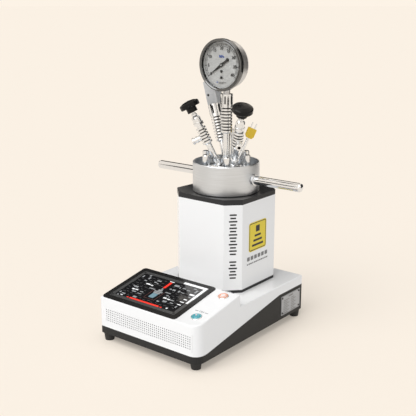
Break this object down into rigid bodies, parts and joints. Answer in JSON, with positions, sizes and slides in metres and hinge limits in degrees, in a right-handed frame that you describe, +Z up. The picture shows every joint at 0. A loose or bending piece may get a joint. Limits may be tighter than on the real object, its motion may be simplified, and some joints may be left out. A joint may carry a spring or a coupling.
{
  "type": "hydrothermal reactor",
  "caption": "Bench-top stirred hydrothermal reactor: console base, square heating furnace, pressure vessel with lock ring and handle bars, gauge, sensor, needle valves and thermocouple.",
  "frame": {"origin": "on the table under the middle of the whole reactor's footprint", "axes": "+Z up, +X to the operator's right, -Y towards the operator; handle bars lie along X at rest"},
  "size_m": [0.336, 0.3333, 0.5427],
  "materials": {
    "tray_black": "satin moulded",
    "housing_white": "gloss",
    "rubber_black": "matt",
    "bezel_black": "gloss",
    "screen": "gloss with dark display",
    "module_dark": "matt",
    "silver_plate": "brushed",
    "screw_steel": "bright",
    "furnace_white": "gloss",
    "furnace_black": "gloss",
    "fibre": "matt fibre",
    "heater_aluminium": "machined",
    "heater_steel": "satin",
    "vessel_steel": "turned",
    "seal": "matt",
    "ring_steel": "satin",
    "polished_steel": "polished",
    "fitting_steel": "machined bright",
    "sensor_grey": "satin",
    "dial_face": "matt",
    "window_glass": "clear",
    "pointer_black": "matt",
    "knob_black": "gloss",
    "plug_yellow": "matt",
    "start_teal": "gloss",
    "stop_white": "gloss",
    "electric_parts": "satin",
    "board_green": "matt"
  },
  "bodies": {
    "base": {"base_tray": "tray_black", "console_cover": "housing_white", "feet": "rubber_black", "front_grille": "housing_white", "screen_bezel": "bezel_black", "touch_glass": "screen", "display_module": "module_dark", "name_plate": "silver_plate", "name_plate_screws": "screw_steel", "power_inlet": "module_dark", "switch_frame": "module_dark", "furnace_base_plate": "furnace_black", "furnace_shell": "furnace_white", "furnace_top_plate": "furnace_black", "insulation": "fibre", "heater_block": "heater_aluminium", "cartridge_heaters": "heater_steel", "vessel": "vessel_steel", "vessel_seal": "seal", "start_button_ring": "polished_steel", "stop_button_ring": "polished_steel", "motor_bracket": "electric_parts", "stir_motor": "electric_parts", "power_supply": "electric_parts", "control_board": "board_green"},
    "head": {"reactor_head": "fitting_steel", "retaining_clip": "vessel_steel", "head_bolts": "fitting_steel", "gauge_stem": "fitting_steel", "gauge_sleeve": "fitting_steel", "gauge_case": "fitting_steel", "gauge_bezel": "polished_steel", "gauge_window": "window_glass", "gauge_dial": "dial_face", "gauge_vent_plug": "rubber_black", "sensor_stem": "fitting_steel", "sensor_sleeve": "fitting_steel", "sensor_housing": "sensor_grey", "thermocouple_probe": "fitting_steel", "thermocouple_plug": "plug_yellow", "thermocouple_blades": "fitting_steel", "burst_disc_holder": "fitting_steel", "left_valve_body": "fitting_steel", "left_valve_bonnet": "fitting_steel", "right_valve_body": "fitting_steel", "right_valve_bonnet": "fitting_steel"},
    "ring": {"lock_ring": "ring_steel", "handle_left": "polished_steel", "handle_right": "polished_steel"},
    "left_needle": {"left_valve_needle": "fitting_steel"},
    "left_knob": {"left_valve_knob": "knob_black"},
    "right_needle": {"right_valve_needle": "fitting_steel"},
    "right_knob": {"right_valve_knob": "knob_black"},
    "pointer": {"gauge_pointer": "pointer_black"},
    "start_button": {"start_button_cap": "start_teal"},
    "stop_button": {"stop_button_cap": "stop_white"},
    "rocker": {"power_rocker": "module_dark"},
    "rotor": {"magnet_rotor": "electric_parts", "drive_magnets": "electric_parts"},
    "stirrer": {"stir_bar": "seal"}
  },
  "joints": [
    {"name": "head_lift", "type": "slide", "parent": "base", "child": "head", "axis": [0, 0, 1], "range_m": [0, 0.009]},
    {"name": "ring_turn", "type": "hinge", "parent": "head", "child": "ring", "pos_m": [0, 0.0642, 0.28966], "axis": [0, 0, 1], "range_deg": [0, 1080]},
    {"name": "left_needle_slide", "type": "slide", "parent": "head", "child": "left_needle", "axis": [-0.4147, -0.1847, 0.891], "range_m": [0, 0.003]},
    {"name": "left_knob_turn", "type": "hinge", "parent": "left_needle", "child": "left_knob", "pos_m": [-0.06511, 0.04321, 0.40707], "axis": [-0.4147, -0.1847, 0.891], "range_deg": [0, 1080]},
    {"name": "right_needle_slide", "type": "slide", "parent": "head", "child": "right_needle", "axis": [0.3201, -0.2241, 0.9205], "range_m": [0, 0.003]},
    {"name": "right_knob_turn", "type": "hinge", "parent": "right_needle", "child": "right_knob", "pos_m": [0.05501, 0.03676, 0.41032], "axis": [0.3201, -0.2241, 0.9205], "range_deg": [0, 1080]},
    {"name": "pointer_swing", "type": "hinge", "parent": "head", "child": "pointer", "pos_m": [0, 0.047, 0.49516], "axis": [0, 1, 0], "range_deg": [0, 250], "stiffness_Nm_per_rad": 0.0002},
    {"name": "start_press", "type": "slide", "parent": "base", "child": "start_button", "axis": [0, 0.1822, -0.9833], "range_m": [0, 0.0015], "stiffness_N_per_m": 400},
    {"name": "stop_press", "type": "slide", "parent": "base", "child": "stop_button", "axis": [0, 0.1822, -0.9833], "range_m": [0, 0.0015], "stiffness_N_per_m": 400},
    {"name": "rocker_tip", "type": "hinge", "parent": "base", "child": "rocker", "pos_m": [-0.022, 0.1615, 0.042], "axis": [1, 0, 0], "range_deg": [0, 18]},
    {"name": "rotor_spin", "type": "hinge", "parent": "base", "child": "rotor", "pos_m": [0, 0.0642, 0.06], "axis": [0, 0, 1], "continuous": true},
    {"name": "stir_bar_spin", "type": "hinge", "parent": "base", "child": "stirrer", "pos_m": [0, 0.0642, 0.123], "axis": [0, 0, 1], "continuous": true}
  ],
  "couplings": [
    {"joint": "head_lift", "follows": "ring_turn", "m_per_rad": 0.00047746},
    {"joint": "left_knob_turn", "follows": "left_needle_slide", "rad_per_m": 6283.2},
    {"joint": "right_knob_turn", "follows": "right_needle_slide", "rad_per_m": 6283.2},
    {"joint": "stir_bar_spin", "follows": "rotor_spin", "ratio": 1}
  ]
}
